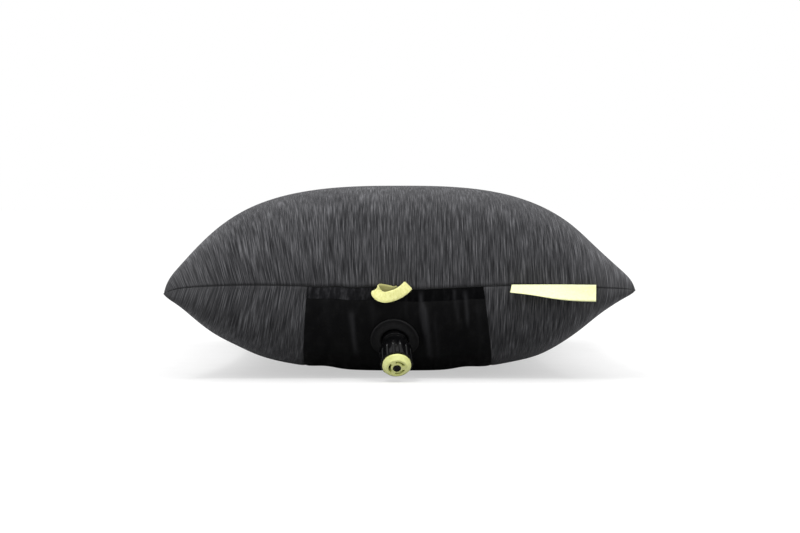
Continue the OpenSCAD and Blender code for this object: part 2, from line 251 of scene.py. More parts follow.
def lookup(table, u, v):
    """The value of a table over the even grid, at any (u, v) between its points."""
    a = np.arccos(np.clip(-u, -1, 1)) / np.pi * GRID_U
    b = np.arccos(np.clip(-v, -1, 1)) / np.pi * GRID_V
    i = np.clip(a.astype(int), 0, GRID_U - 1)
    j = np.clip(b.astype(int), 0, GRID_V - 1)
    s = (a - i)[..., None]
    t = (b - j)[..., None]
    return (
        table[i, j] * (1 - s) * (1 - t)
        + table[i + 1, j] * s * (1 - t)
        + table[i, j + 1] * (1 - s) * t
        + table[i + 1, j + 1] * s * t
    )


# ---------------------------------------------------------------- cloth simulation of the cover

SIM_FRAMES = 18
SIM_CAP = 3.0 * MM
SEAM_EXCESS = 0.035
POCKET_EXCESS = 0.09


def quads(grid, flip):
    q = np.stack([grid[:-1, :-1], grid[1:, :-1], grid[1:, 1:], grid[:-1, 1:]], -1).reshape(-1, 4)
    return q[:, ::-1] if flip else q


def simulate_cover():
    """Inflates the whole cover, with extra fabric at the seams, and returns how far each grid
    point of the top and the belly moved."""
    u, v = even_grid()
    n = u.size
    top = base_skin(u, v, TOP).reshape(-1, 3)
    low = base_skin(u, v, BELLY).reshape(-1, 3)
    ids = np.arange(n).reshape(u.shape)
    inner = np.zeros(u.shape, bool)
    inner[1:-1, 1:-1] = True
    low_ids = ids.copy()
    low_ids[inner] = n + np.arange(inner.sum())
    points = np.vstack([top, low[inner.ravel()]])

    faces = np.vstack([quads(ids, False), quads(low_ids, True)])

    # The rest shape is longer than the start where fabric is eased into a seam
    uu = np.concatenate([u.ravel(), u[inner]])
    vv = np.concatenate([v.ravel(), v[inner]])
    is_low = np.concatenate([np.zeros(n, bool), np.ones(inner.sum(), bool)])
    edge_x = (1 - np.abs(uu)) * HALF_W
    edge_y = (1 - np.abs(vv)) * HALF_L
    rest = points.copy()
    near_end = np.exp(-edge_y / (9 * MM)) * (edge_y > 0.3 * MM)
    near_side = np.exp(-edge_x / (9 * MM)) * (edge_x > 0.3 * MM)
    half = (JOINT_RIGHT - JOINT_LEFT) / 2
    pocket = is_low * np.exp(-edge_y / (14 * MM)) * (vv < 0) * (edge_y > 0.3 * MM)
    from_middle = np.clip(points[:, 0] - CENTRE_X, -half, half)
    rest[:, 0] += points[:, 0] * SEAM_EXCESS * near_end + from_middle * POCKET_EXCESS * pocket
    rest[:, 1] += points[:, 1] * SEAM_EXCESS * near_side

    mesh = bpy.data.meshes.new("cover_sim")
    mesh.from_pydata((points - skin_room(uu, vv, is_low)).tolist(), [], faces.tolist())
    cover = bpy.data.objects.new("cover_sim", mesh)
    bpy.context.collection.objects.link(cover)
    cover.shape_key_add(name="start")
    key = cover.shape_key_add(name="rest")
    key.data.foreach_set("co", rest.ravel())

    hold = cover.vertex_groups.new(name="hold")
    seam = (edge_x < 0.3 * MM) | (edge_y < 0.3 * MM)
    soft = np.clip(0.5 * (1 - np.maximum(near_end, near_side)), 0.04, 0.5)
    soft = np.where(pocket > 0.05, 0.03, soft)
    for weight in np.unique(np.round(soft[~seam], 2)):
        chosen = np.nonzero(~seam & (np.round(soft, 2) == weight))[0]
        hold.add(chosen.tolist(), float(weight), "REPLACE")
    hold.add(np.nonzero(seam)[0].tolist(), 1.0, "REPLACE")

    cloth = cover.modifiers.new("cloth", "CLOTH")
    s = cloth.settings
    s.quality = 6
    s.mass = 0.15
    s.tension_stiffness = s.compression_stiffness = 18
    s.shear_stiffness = 4
    s.bending_stiffness = 0.05
    s.use_pressure = True
    s.uniform_pressure_force = 5
    s.vertex_group_mass = "hold"
    s.pin_stiffness = 0.6
    s.rest_shape_key = key
    s.effector_weights.gravity = 0
    cloth.collision_settings.use_collision = False
    cloth.point_cache.frame_start = 1
    cloth.point_cache.frame_end = SIM_FRAMES
    scene = bpy.context.scene
    for number in range(1, SIM_FRAMES + 1):
        scene.frame_set(number)
    done = cover.evaluated_get(bpy.context.evaluated_depsgraph_get())
    moved = np.array([p.co for p in done.data.vertices])
    scene.frame_set(1)
    shift = moved - points
    size = np.linalg.norm(shift, axis=1, keepdims=True)
    shift *= np.minimum(1, SIM_CAP / np.maximum(size, 1e-9))
    bpy.data.objects.remove(cover)
    return shift[ids], shift[low_ids]


def skin_room(u, v, is_low):
    """The simulation starts slightly inside the skin, because pressure swells it."""
    side = np.where(is_low, BELLY, TOP)
    out = np.zeros((u.size, 3))
    out[:, 2] = side * 0.4 * MM * (1 - u**4) * (1 - v**8)
    return out


SHIFT = dict(zip((TOP, BELLY), simulate_cover()))


def skin(u, v, side, lift=0.0, inset=0.0):
    """A point of the finished skin, lifted off it along its normal."""
    u, v = np.broadcast_arrays(np.asarray(u, float), np.asarray(v, float))
    p = base_skin(u, v, side, inset) + lookup(SHIFT[side], u, v)
    lift = np.broadcast_to(lift, u.shape)[..., None]
    p = p + skin_normal(u, v, side) * lift
    if side == BELLY:
        p[..., 2] = np.maximum(p[..., 2], 0.05 * MM)
    return p


# ---------------------------------------------------------------- materials


def rgb(r, g, b):
    """A colour given as it looks on screen, from 0 to 255."""
    linear = []
    for shown in (r / 255, g / 255, b / 255):
        linear.append(shown / 12.92 if shown <= 0.04045 else ((shown + 0.055) / 1.055) ** 2.4)
    return (*linear, 1.0)


class Shader:
    """A small builder for node materials: add() makes a node and returns it."""

    def __init__(self, name):
        self.mat = bpy.data.materials.new(name)
        self.mat.use_nodes = True
        self.tree = self.mat.node_tree
        self.tree.nodes.clear()

    def add(self, kind, inputs=None, **settings):
        node = self.tree.nodes.new(kind)
        for key, value in settings.items():
            setattr(node, key, value)
        for key, value in (inputs or {}).items():
            self.put(node.inputs[key], value)
        return node

    def put(self, socket, value):
        if isinstance(value, bpy.types.NodeSocket):
            self.tree.links.new(value, socket)
        elif isinstance(value, bpy.types.Node):
            self.tree.links.new(value.outputs[0], socket)
        else:
            socket.default_value = value

    def math(self, op, a, b=0.0, c=0.0):
        return self.add("ShaderNodeMath", {0: a, 1: b, 2: c}, operation=op)

    def ramp(self, fac, *stops):
        node = self.add("ShaderNodeValToRGB", {0: fac})
        band = node.color_ramp
        while len(band.elements) < len(stops):
            band.elements.new(0.5)
        for element, (at, colour) in zip(band.elements, stops):
            element.position = at
            element.color = colour if not isinstance(colour, float) else (colour, colour, colour, 1)
        return node

    def noise(self, where, scale, detail=2.0, rough=0.5):
        return self.add(
            "ShaderNodeTexNoise", {"Vector": where, "Scale": scale, "Detail": detail, "Roughness": rough}
        )

    def stretched(self, where, x, y, z=1.0, offset=(0, 0, 0)):
        return self.add(
            "ShaderNodeMapping", {"Vector": where, "Scale": (x, y, z), "Location": offset}
        )

    def mix(self, fac, a, b):
        return self.add(
            "ShaderNodeMix", {0: fac, 6: a, 7: b}, data_type="RGBA"
        ).outputs[2]

    def bump(self, height, distance, strength=1.0, normal=None):
        inputs = {"Height": height, "Distance": distance, "Strength": strength}
        if normal is not None:
            inputs["Normal"] = normal
        return self.add("ShaderNodeBump", inputs)

    def finish(self, colour, roughness, normal=None, **more):
        inputs = {"Base Color": colour, "Roughness": roughness}
        if normal is not None:
            inputs["Normal"] = normal
        inputs.update({k.replace("_", " ").title().replace("Ior", "IOR"): x for k, x in more.items()})
        surface = self.add("ShaderNodeBsdfPrincipled", inputs)
        self.add("ShaderNodeOutputMaterial", {"Surface": surface})
        return self.mat

    def uv(self):
        return self.add("ShaderNodeUVMap", uv_map="fabric").outputs[0]

    def place(self):
        return self.add("ShaderNodeTexCoord").outputs["Object"]


def weave_height(s, where, pitch_x, pitch_y):
    """A fine over-and-under weave: the product of two ripples."""
    parts = s.add("ShaderNodeSeparateXYZ", {0: where})
    a = s.math("SINE", s.math("MULTIPLY", parts.outputs[0], math.pi / pitch_x))
    b = s.math("SINE", s.math("MULTIPLY", parts.outputs[1], math.pi / pitch_y))
    return s.math("ABSOLUTE", s.math("MULTIPLY", a, b))


def jersey_material():
    """Charcoal jersey with fine yarn streaks along the pillow, and painted light that makes it paler
    towards the tips.
    """
    s = Shader("jersey")
    uv = s.uv()
    fine = s.noise(s.stretched(uv, 2100, 62), 1.0, 3.0, 0.6)
    broad = s.noise(s.stretched(uv, 820, 38, 1, (3.1, 7.7, 0)), 1.0, 2.0, 0.5)
    drift = s.noise(s.stretched(uv, 40, 14, 1, (9.0, 2.0, 0)), 1.0, 2.0, 0.5)
    tone = s.math("MULTIPLY_ADD", fine, 0.66, s.math("MULTIPLY", broad, 0.28))
    tone = s.math("MULTIPLY_ADD", drift, 0.08, tone)
    colour = s.ramp(
        tone,
        (0.36, rgb(18, 18, 20)),
        (0.46, rgb(41, 41, 43)),
        (0.54, rgb(62, 62, 64)),
        (0.68, rgb(104, 104, 107)),
    )
    across = s.add("ShaderNodeSeparateXYZ", {0: s.place()}).outputs[0]
    # Painted light: the jersey is mixed towards pale grey near the tips, standing in for the light that
    # falls on them from the sides
    tips = s.ramp(s.math("ABSOLUTE", s.math("MULTIPLY", across, 5.0)), (0.5, 0.0), (0.62, 0.045))
    colour = s.mix(tips.outputs[0], colour.outputs[0], rgb(172, 172, 174))
    rib = weave_height(s, uv, 0.62 * MM, 0.5 * MM)
    height = s.math("MULTIPLY_ADD", tone, 0.6, s.math("MULTIPLY", rib, 0.5))
    normal = s.bump(height, 0.25 * MM, 0.5)
    return s.finish(
        colour, 0.92, normal.outputs[0],
        sheen_weight=0.16, sheen_roughness=0.4, sheen_tint=rgb(205, 205, 210), specular_ior_level=0.12,
    )


def taffeta_material():
    """Smooth black taffeta with fine crinkle, and a painted highlight that greys the crests of its folds.
    """
    s = Shader("taffeta")
    uv = s.uv()
    crinkle = s.noise(s.stretched(uv, 190, 110), 1.0, 5.0, 0.6)
    pleat = s.noise(s.stretched(uv, 150, 16, 1, (4, 1, 0)), 1.0, 2.0, 0.5)
    rib = weave_height(s, uv, 0.3 * MM, 0.3 * MM)
    black = s.ramp(crinkle, (0.32, rgb(2, 2, 3)), (0.52, rgb(5, 5, 6)), (0.7, rgb(14, 14, 15)))
    crest = s.add("ShaderNodeAttribute", attribute_name="crest").outputs["Fac"]
    # Painted highlight: the crests of the folds are mixed towards grey, standing in for the light they
    # catch
    crest_highlight = s.math("MULTIPLY", crest, s.ramp(pleat, (0.3, 0.55), (0.6, 1.0)).outputs[0])
    colour = s.mix(crest_highlight, black.outputs[0], rgb(37, 37, 39))
    height = s.math("MULTIPLY_ADD", crinkle, 0.9, s.math("MULTIPLY", pleat, 1.2))
    soft = s.bump(height, 1.0 * MM, 0.5)
    normal = s.bump(rib, 0.08 * MM, 0.5, soft.outputs[0])
    rough = s.ramp(pleat, (0.35, 0.40), (0.65, 0.6))
    return s.finish(colour, rough.outputs[0], normal.outputs[0], specular_ior_level=0.08)


def hem_material():
    """Elastic hem with fine vertical gathers, greyer on its left, and with painted highlights along the
    crests of its folds.
    """
    s = Shader("hem_knit")
    uv = s.uv()
    gather = s.noise(s.stretched(uv, 420, 60), 1.0, 3.0, 0.6)
    mottle = s.noise(s.stretched(uv, 130, 90, 1, (5, 5, 0)), 1.0, 4.0, 0.65)
    mixed = s.math("MULTIPLY_ADD", gather, 0.5, s.math("MULTIPLY", mottle, 0.5))
    black = s.ramp(mixed, (0.35, rgb(2, 2, 3)), (0.5, rgb(6, 6, 7)), (0.68, rgb(18, 18, 20)))
    grey = s.ramp(mixed, (0.35, rgb(10, 10, 11)), (0.5, rgb(27, 27, 29)), (0.66, rgb(58, 58, 60)))
    parts = s.add("ShaderNodeSeparateXYZ", {0: uv})
    left = s.ramp(s.math("MULTIPLY_ADD", parts.outputs[0], -10.0, 0.4), (0.45, 0.0), (0.72, 1.0))
    crest = s.add("ShaderNodeAttribute", attribute_name="crest").outputs["Fac"]
    colour = s.mix(left.outputs[0], black.outputs[0], grey.outputs[0])
    # Painted highlight: the crests of the folds are mixed towards grey, standing in for the light they
    # catch
    colour = s.mix(crest, colour, rgb(37, 37, 39))
    normal = s.bump(mixed, 0.8 * MM, 0.7)
    return s.finish(colour, 0.7, normal.outputs[0], specular_ior_level=0.03)


def patch_material():
    """Bonded black ring: smoother and a touch lighter than the panel."""
    s = Shader("patch_fabric")
    where = s.place()
    grain = s.noise(s.stretched(where, 900, 900, 900), 1.0, 3.0, 0.6)
    colour = s.ramp(grain, (0.35, rgb(18, 18, 19)), (0.65, rgb(28, 28, 29)))
    normal = s.bump(grain, 0.1 * MM, 0.5)
    return s.finish(colour.outputs[0], 0.5, normal.outputs[0], specular_ior_level=0.16)


def binding_material():
    s = Shader("binding")
    where = s.place()
    grain = s.noise(s.stretched(where, 1500, 1500, 1500), 1.0, 2.0)
    colour = s.ramp(grain, (0.4, rgb(8, 8, 9)), (0.6, rgb(18, 18, 20)))
    return s.finish(colour.outputs[0], 0.9, s.bump(grain, 0.2 * MM, 0.5).outputs[0])


def webbing_material():
    """Pale lime webbing with a fine cross rib, and painted shade over the inner face of the loop."""
    s = Shader("lime_webbing")
    uv = s.uv()
    parts = s.add("ShaderNodeSeparateXYZ", {0: uv})
    rib = s.math("ABSOLUTE", s.math("SINE", s.math("MULTIPLY", parts.outputs[0], math.pi / (0.55 * MM))))
    weft = weave_height(s, uv, 0.55 * MM, 0.4 * MM)
    fuzz = s.noise(s.stretched(uv, 700, 500), 1.0, 3.0, 0.6)
    height = s.math("MULTIPLY_ADD", rib, 0.4, s.math("MULTIPLY", weft, 0.6))
    shade = s.math("MULTIPLY_ADD", height, 0.35, s.math("MULTIPLY", fuzz, 0.65))
    colour = s.ramp(shade, (0.2, rgb(194, 192, 112)), (0.5, rgb(222, 221, 148)), (0.8, rgb(236, 235, 178)))
    # Painted shade: the whole inner face of the loop is mixed towards dark olive, standing in for the shade
    # inside the loop
    inner = s.ramp(s.math("MULTIPLY", parts.outputs[1], 100.0), (0.34, 0.75), (0.40, 0.0))
    colour = s.mix(inner.outputs[0], colour.outputs[0], rgb(132, 128, 72))
    normal = s.bump(height, 0.14 * MM, 0.55)
    return s.finish(
        colour, 0.75, normal.outputs[0],
        sheen_weight=0.2, sheen_roughness=0.4, specular_ior_level=0.3,
    )


def label_material():
    """Very pale lime satin label with a fine weave."""
    s = Shader("label_fabric")
    uv = s.uv()
    weft = weave_height(s, uv, 0.42 * MM, 0.3 * MM)
    fuzz = s.noise(s.stretched(uv, 600, 600), 1.0, 3.0, 0.6)
    shade = s.math("MULTIPLY_ADD", weft, 0.3, s.math("MULTIPLY", fuzz, 0.7))
    colour = s.ramp(
        shade,
        (0.25, rgb(232, 235, 172)),
        (0.5, rgb(244, 247, 190)),
        (0.75, rgb(250, 251, 212)),
    )
    normal = s.bump(shade, 0.08 * MM, 0.5)
    return s.finish(colour.outputs[0], 0.6, normal.outputs[0], specular_ior_level=0.3)


def plastic(name, dark, light, roughness, scale=260, shine=0.5):
    """Moulded plastic: a faint mould grain in the gloss and slight colour variation."""
    s = Shader(name)
    where = s.place()
    cloud = s.noise(s.stretched(where, scale, scale, scale), 1.0, 3.0, 0.55)
    grain = s.noise(s.stretched(where, 2600, 2600, 2600), 1.0, 2.0, 0.5)
    colour = s.ramp(cloud, (0.35, dark), (0.65, light))
    rough = s.ramp(cloud, (0.3, roughness * 0.8), (0.7, roughness * 1.25))
    normal = s.bump(grain, 0.02 * MM, 0.35)
    return s.finish(
        colour.outputs[0], rough.outputs[0], normal.outputs[0],
        coat_weight=0.4 * shine, coat_roughness=0.06, specular_ior_level=shine,
    )


def film_material():
    s = Shader("bladder_film")
    where = s.place()
    cloud = s.noise(s.stretched(where, 90, 90, 90), 1.0, 3.0)
    colour = s.ramp(cloud, (0.35, rgb(120, 122, 126)), (0.65, rgb(150, 152, 156)))
    return s.finish(colour.outputs[0], 0.4, s.bump(cloud, 0.5 * MM, 0.3).outputs[0])


def foam_material():
    s = Shader("foam")
    where = s.place()
    fibre = s.noise(s.stretched(where, 400, 400, 400), 1.0, 4.0)
    colour = s.ramp(fibre, (0.35, rgb(215, 214, 210)), (0.65, rgb(238, 237, 233)))
    return s.finish(colour.outputs[0], 0.95, s.bump(fibre, 0.5 * MM, 0.5).outputs[0])


def steel_material():
    s = Shader("spring_steel")
    where = s.place()
    brushed = s.noise(s.stretched(where, 3000, 3000, 300), 1.0, 2.0)
    colour = s.ramp(brushed, (0.4, rgb(150, 150, 154)), (0.6, rgb(188, 188, 192)))
    return s.finish(colour.outputs[0], 0.3, s.bump(brushed, 0.02 * MM, 0.4).outputs[0], metallic=1.0)


MATERIALS = {
    "jersey": jersey_material(),
    "taffeta": taffeta_material(),
    "hem_knit": hem_material(),
    "patch_fabric": patch_material(),
    "binding": binding_material(),
    "lime_webbing": webbing_material(),
    "label_fabric": label_material(),
    "bladder_film": film_material(),
    "foam": foam_material(),
    "spring_steel": steel_material(),
    "black_plastic": plastic("black_plastic", rgb(6, 6, 7), rgb(11, 11, 12), 0.12, shine=0.14),
    "soft_black": plastic("soft_black", rgb(20, 20, 21), rgb(32, 32, 34), 0.5),
    "seal_rubber": plastic("seal_rubber", rgb(22, 22, 23), rgb(34, 34, 36), 0.6),
    "silicone": plastic("silicone", rgb(210, 210, 205), rgb(232, 232, 228), 0.45),
    "lime_plastic": plastic("lime_plastic", rgb(214, 218, 138), rgb(228, 232, 158), 0.18),
}


# ---------------------------------------------------------------- mesh helpers


def new_object(name, points, faces, slot, body="pillow"):
    """A smooth-shaded piece that rides on a body of the frame."""
    mesh = bpy.data.meshes.new(name)
    mesh.from_pydata(np.asarray(points).reshape(-1, 3).tolist(), [], [tuple(map(int, f)) for f in faces])
    mesh.materials.append(MATERIALS[slot])
    mesh.polygons.foreach_set("use_smooth", [True] * len(mesh.polygons))
    mesh.update()
    obj = bpy.data.objects.new(name, mesh)
    bpy.context.collection.objects.link(obj)
    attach(obj, body)
    return obj


def grid_faces(rows, cols, flip=False, wrap_rows=False, wrap_cols=False):
    """The four-sided faces of a grid of points, which may close on itself either way."""
    i = np.arange(rows if wrap_rows else rows - 1)
    j = np.arange(cols if wrap_cols else cols - 1)
    a, b = np.meshgrid(i, j, indexing="ij")
    a, b = a.ravel(), b.ravel()
    c, d = (a + 1) % rows, (b + 1) % cols
    q = np.stack([a * cols + b, c * cols + b, c * cols + d, a * cols + d], -1)
    return q[:, ::-1] if flip else q


def set_uv(obj, coords):
    """Fabric coordinates in metres, one per vertex."""
    mesh = obj.data
    layer = mesh.uv_layers.new(name="fabric")
    index = np.zeros(len(mesh.loops), int)
    mesh.loops.foreach_get("vertex_index", index)
    layer.data.foreach_set("uv", np.asarray(coords).reshape(-1, 2)[index].ravel())


def fabric_table(side):
    """Fabric coordinates over the even grid, in metres. The grain runs along the pillow, and leans
    on the left of the end face."""
    u, v = even_grid()
    p = base_skin(u, v, side)
    across = np.cumsum(np.linalg.norm(np.diff(p, axis=0, prepend=p[:1]), axis=-1), axis=0)
    across = across - across[GRID_U // 2]
    along = np.cumsum(np.linalg.norm(np.diff(p, axis=1, prepend=p[:, :1]), axis=-1), axis=1)
    x = p[..., 0]
    across = x + (across - x) * (1 - v * v)
    reach = 70 * MM
    lean = np.where(x < 0, 0.46, 0.10) * np.clip(np.abs(x) / HALF_W, 0, 1) ** 1.3
    across = across + lean * reach * (1 - np.exp(-along / reach))
    return np.stack([across, along], axis=-1)


FABRIC = {side: fabric_table(side) for side in (TOP, BELLY)}


def strip(x0, x1, rows, vs, edge_drop=(0.0, 0.0), edge_width=1.1 * MM, lift=0.0):
    """Rows of u and v for the strip between two x lines, and its lift, which falls at sewn edges.
    None for an x line means the pillow's own edge."""
    w = plan_w(vs)[None, :]
    left = -w if x0 is None else leaned(x0, vs)[None, :]
    right = w if x1 is None else leaned(x1, vs)[None, :]
    a = crowded(rows)[:, None]
    x = left + (right - left) * a
    u = x / w
    v = np.broadcast_to(vs[None, :], u.shape)
    drop = edge_drop[0] * np.exp(-((np.abs(x - left) / edge_width) ** 1.5))
    drop = drop + edge_drop[1] * np.exp(-((np.abs(right - x) / edge_width) ** 1.5))
    return u, v, lift - drop


def panel(name, slot, x0, x1, rows, vs, side, nodes, **how):
    """A cover panel between two x lines, with the fabric's thickness."""
    u, v, lift = strip(x0, x1, rows, vs, **how)
    lift = lift - rim_drop(u, v)
    points = skin(u, v, side, lift)
    obj = new_object(name, points, grid_faces(*u.shape, flip=side == BELLY), slot)
    set_uv(obj, lookup(FABRIC[side], u, v))
    thick = obj.modifiers.new("thickness", "SOLIDIFY")
    thick.thickness = 0.6 * MM
    thick.offset = -1
    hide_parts(*nodes)
    return obj


def rim_drop(u, v):
    """The fabric turns in as it enters the seam."""
    edge = np.minimum((1 - np.abs(u)) * HALF_W, (1 - np.abs(v)) * HALF_L)
    return 0.5 * MM * np.exp(-edge / (0.8 * MM))


# ---------------------------------------------------------------- cover

FINE_V = v_steps(-1, 1, 300)
SEAM_DROP = 0.35 * MM
JOINT_GAP = 0.03 * MM

panel("cover_top_panel", "jersey", None, None, 210, FINE_V, TOP, ["cover_top"])
panel(
    "cover_left_panel", "jersey", None, JOINT_LEFT - JOINT_GAP, 80, FINE_V, BELLY,
    ["cover_bottom_left"], edge_drop=(0, SEAM_DROP),
)
panel(
    "cover_right_panel", "jersey", JOINT_RIGHT + JOINT_GAP, None, 80, FINE_V, BELLY,
    ["cover_bottom_right"], edge_drop=(SEAM_DROP, 0),
)

# ---------------------------------------------------------------- stuff pocket

HEM_DEPTH = 7.4 * MM
POCKET_V = POCKET_END_Y / plan_l(0.0)

# Folds of the pocket: where across, how wide, how far below the hem they start and end (all in
# metres), and their height in millimetres
FOLDS = (
    (-0.0290, 0.0020, 0.010, 0.036, 1.15),
    (-0.0440, 0.0030, 0.002, 0.022, 0.40),
    (0.0125, 0.0017, -0.004, 0.014, 0.95),
    (0.0150, 0.0022, 0.006, 0.040, 1.20),
    (0.0210, 0.0016, 0.014, 0.040, 0.70),
    (0.0330, 0.0016, -0.006, 0.012, 0.80),
    (0.0390, 0.0016, -0.004, 0.014, 0.95),
    (0.0470, 0.0026, 0.006, 0.030, 0.45),
    (-0.0170, 0.0024, 0.000, 0.018, 0.50),
    (0.0030, 0.0020, 0.000, 0.012, 0.45),
)


def smooth(x):
    x = np.clip(x, 0, 1)
    return x * x * (3 - 2 * x)


def pocket_folds(x, depth):
    """Height of the gathers that fall from the hem of the pocket."""
    total = 0 * x
    for at, width, start, end, height in FOLDS:
        drift = at + 0.10 * (depth - start)
        reach = smooth((depth - start + 0.006) / 0.008) * smooth((end + 0.012 - depth) / 0.014)
        total = total + height * bump(x, drift, width) * reach
    fine = np.sin(x * 1450 + 3 * np.sin(x * 210)) * np.sin(x * 97 + 1.2)
    total = total + 0.22 * fine * np.exp(-np.abs(depth) / 0.012)
    return total * MM


def run_down(base):
    """How far down the face each point of a grid lies, from its first column."""
    return np.cumsum(np.linalg.norm(np.diff(base, axis=1, prepend=base[:, :1]), axis=-1), axis=1)


def mark_crests(obj, folds):
    """Stores how high each point stands on a fold, for the material's painted highlight along the crests.
    """
    crest = obj.data.attributes.new("crest", "FLOAT", "POINT")
    crest.data.foreach_set("value", np.clip(folds / (1.1 * MM), 0, 1).ravel() ** 2)


def pocket():
    """The black pocket over the middle of the belly, with the valve's hole in it."""
    vs = v_steps(v_at_depth(HEM_DEPTH - 1.2 * MM), POCKET_V, 190)
    u, v, lift = strip(
        JOINT_LEFT + JOINT_GAP, JOINT_RIGHT - JOINT_GAP, 150, vs, (SEAM_DROP, SEAM_DROP)
    )
    base = base_skin(u, v, BELLY)
    away = run_down(base)
    flat_near_valve = smooth((valve_radius(base) - 13 * MM) / (6 * MM))
    folds = pocket_folds(base[..., 0], away) * flat_near_valve
    lift = lift + folds
    # Both ends of the pocket turn in: under the hem, and at its closed end
    lift = lift - 0.7 * MM * np.exp(-away / (1.2 * MM))
    end = away[:, -1:] - away
    lift = lift - 0.5 * MM * np.exp(-end / (1.0 * MM))
    points = skin(u, v, BELLY, lift)
    faces = grid_faces(*u.shape, flip=True)
    centre = base.reshape(-1, 3)[faces].mean(axis=1)
    faces = faces[valve_radius(centre) > 10.5 * MM]
    obj = new_object("stuff_pocket_panel", points, faces, "taffeta")
    mark_crests(obj, folds)
    set_uv(obj, lookup(FABRIC[BELLY], u, v))
    thick = obj.modifiers.new("thickness", "SOLIDIFY")
    thick.thickness = 0.4 * MM
    thick.offset = -1
    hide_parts("stuff_pocket")


def valve_radius(points):
    """Distance of points from the valve's axis."""
    d = points - VALVE_AT
    along = d @ VALVE_OUT
    far = np.linalg.norm(d - along[..., None] * VALVE_OUT, axis=-1)
    return np.where(np.abs(along) < 30 * MM, far, 1.0)


def hem():
    """The gathered elastic hem between the seam and the pocket."""
    vs = v_steps(v_at_depth(0.02 * MM), v_at_depth(HEM_DEPTH), 26)
    u, v, lift = strip(
        JOINT_LEFT + JOINT_GAP, JOINT_RIGHT - JOINT_GAP, 260, vs, (SEAM_DROP, SEAM_DROP)
    )
    base = base_skin(u, v, BELLY)
    depth = np.clip((SEAM_Z - base[..., 2]) / HEM_DEPTH, 0, 1)
    x = base[..., 0]
    ripple = np.sin(x * 1900 + 2.5 * np.sin(x * 330 + 1) + 3 * depth)
    ripple = ripple * (0.55 + 0.45 * np.sin(x * 240 + 0.6))
    bulge = np.where(x < 0, 0.4, 0.15) + 0.28 * ripple
    folds = pocket_folds(x, run_down(base) - HEM_DEPTH) * smooth(depth * 3)
    lift = lift + bulge * np.sin(np.pi * depth) * MM + folds
    points = skin(u, v, BELLY, lift)
    obj = new_object("pocket_hem_band", points, grid_faces(*u.shape, flip=True), "hem_knit")
    mark_crests(obj, folds)
    set_uv(obj, lookup(FABRIC[BELLY], u, v))
    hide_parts("pocket_hem")


def lining():
    """The black lining of the belly beyond the closed end of the pocket."""
    vs = v_steps(POCKET_V - 0.04, 1, 130)
    panel(
        "belly_lining_panel", "taffeta", JOINT_LEFT + JOINT_GAP, JOINT_RIGHT - JOINT_GAP, 70, vs, BELLY,
        ["cover_bottom_centre"], edge_drop=(SEAM_DROP, SEAM_DROP), lift=-0.45 * MM,
    )


pocket()
hem()
lining()

# ---------------------------------------------------------------- ring round the valve

PATCH_R = 14.7 * MM
PATCH_HOLE_R = 8.2 * MM


def on_face(x, climb):
    """(u, v) of the end face at a given x and distance up the face from the valve's centre."""
    up = unit(np.array([0, 0, 1]) - VALVE_OUT[2] * VALVE_OUT)
    low = np.full_like(x, -0.9999)
    high = np.full_like(x, -0.55)
    for _ in range(40):
        mid = (low + high) / 2
        p = base_skin(x / plan_w(mid), mid, BELLY)
        above = (p - VALVE_AT) @ up > climb
        low = np.where(above, mid, low)
        high = np.where(above, high, mid)
    v = (low + high) / 2
    return x / plan_w(v), v


def valve_patch():
    """A bonded ring that follows the cover around the valve."""
    turns = 120
    angle = np.linspace(0, 2 * np.pi, turns, endpoint=False)
    profile = (  # radius, lift
        (PATCH_HOLE_R - 0.1 * MM, -1.5 * MM),
        (PATCH_HOLE_R, 0.35 * MM),
        (PATCH_HOLE_R + 0.25 * MM, 0.8 * MM),
        (PATCH_HOLE_R + 0.7 * MM, 0.95 * MM),
        (PATCH_HOLE_R + 1.6 * MM, 0.8 * MM),
        (PATCH_HOLE_R + 3.4 * MM, 0.75 * MM),
        (PATCH_R - 1.0 * MM, 0.75 * MM),
        (PATCH_R - 0.6 * MM, 1.15 * MM),
        (PATCH_R - 0.2 * MM, 1.0 * MM),
        (PATCH_R - 0.05 * MM, 0.5 * MM),
        (PATCH_R, 0.1 * MM),
        (PATCH_R - 0.1 * MM, -0.4 * MM),
    )
    rings = []
    for radius, lift in profile:
        u, v = on_face(VALVE_AT[0] + radius * np.cos(angle), radius * np.sin(angle))
        rings.append(skin(u, v, BELLY, lift))
    points = np.stack(rings)
    faces = grid_faces(len(rings), turns, wrap_cols=True)
    obj = new_object("valve_patch_ring", points, faces, "patch_fabric")
    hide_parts("valve_patch")


valve_patch()

# ---------------------------------------------------------------- seam binding and inner layers


def seam_line(n, inset):
    """Points along the sewn edge, all the way round, drawn in by an inset."""
    s = -np.cos(np.pi * np.arange(n) / n)
    ones = np.ones(n)
    sides = ((s, -ones), (ones, s), (-s, ones), (-ones, -s))
    u = np.concatenate([a for a, _ in sides])
    v = np.concatenate([b for _, b in sides])
    p = base_skin(u, v, TOP, inset)
    p[:, 2] -= RIM_GAP
    return p


def seam_binding():
    """The bound seam allowance, seen as a dark line between the panels."""
    n = 140
    profile = (  # inset, lift, in millimetres
        (8.0, 0.25),
        (3.0, 0.25),
        (0.7, 0.3),
        (0.25, 0.0),
        (0.7, -0.3),
        (3.0, -0.25),
        (8.0, -0.25),
    )
    rings = []
    for inset, lift in profile:
        p = seam_line(n, inset * MM)
        p[:, 2] += lift * MM
        rings.append(p)
    points = np.stack(rings)
    faces = grid_faces(len(rings), 4 * n, flip=True, wrap_rows=True, wrap_cols=True)
    obj = new_object("seam_binding_tape", points, faces, "binding")
    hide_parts("seam_binding")


def off_valve(points, faces, radius):
    """The faces farther than this radius from the valve's axis, or far behind the valve."""
    middle = points[np.asarray(faces)].mean(axis=1) - VALVE_AT
    along = middle @ VALVE_OUT
    away = np.linalg.norm(middle - along[:, None] * VALVE_OUT, axis=1)
    return [face for face, d, a in zip(faces, away, np.abs(along)) if d > radius or a > 60 * MM]


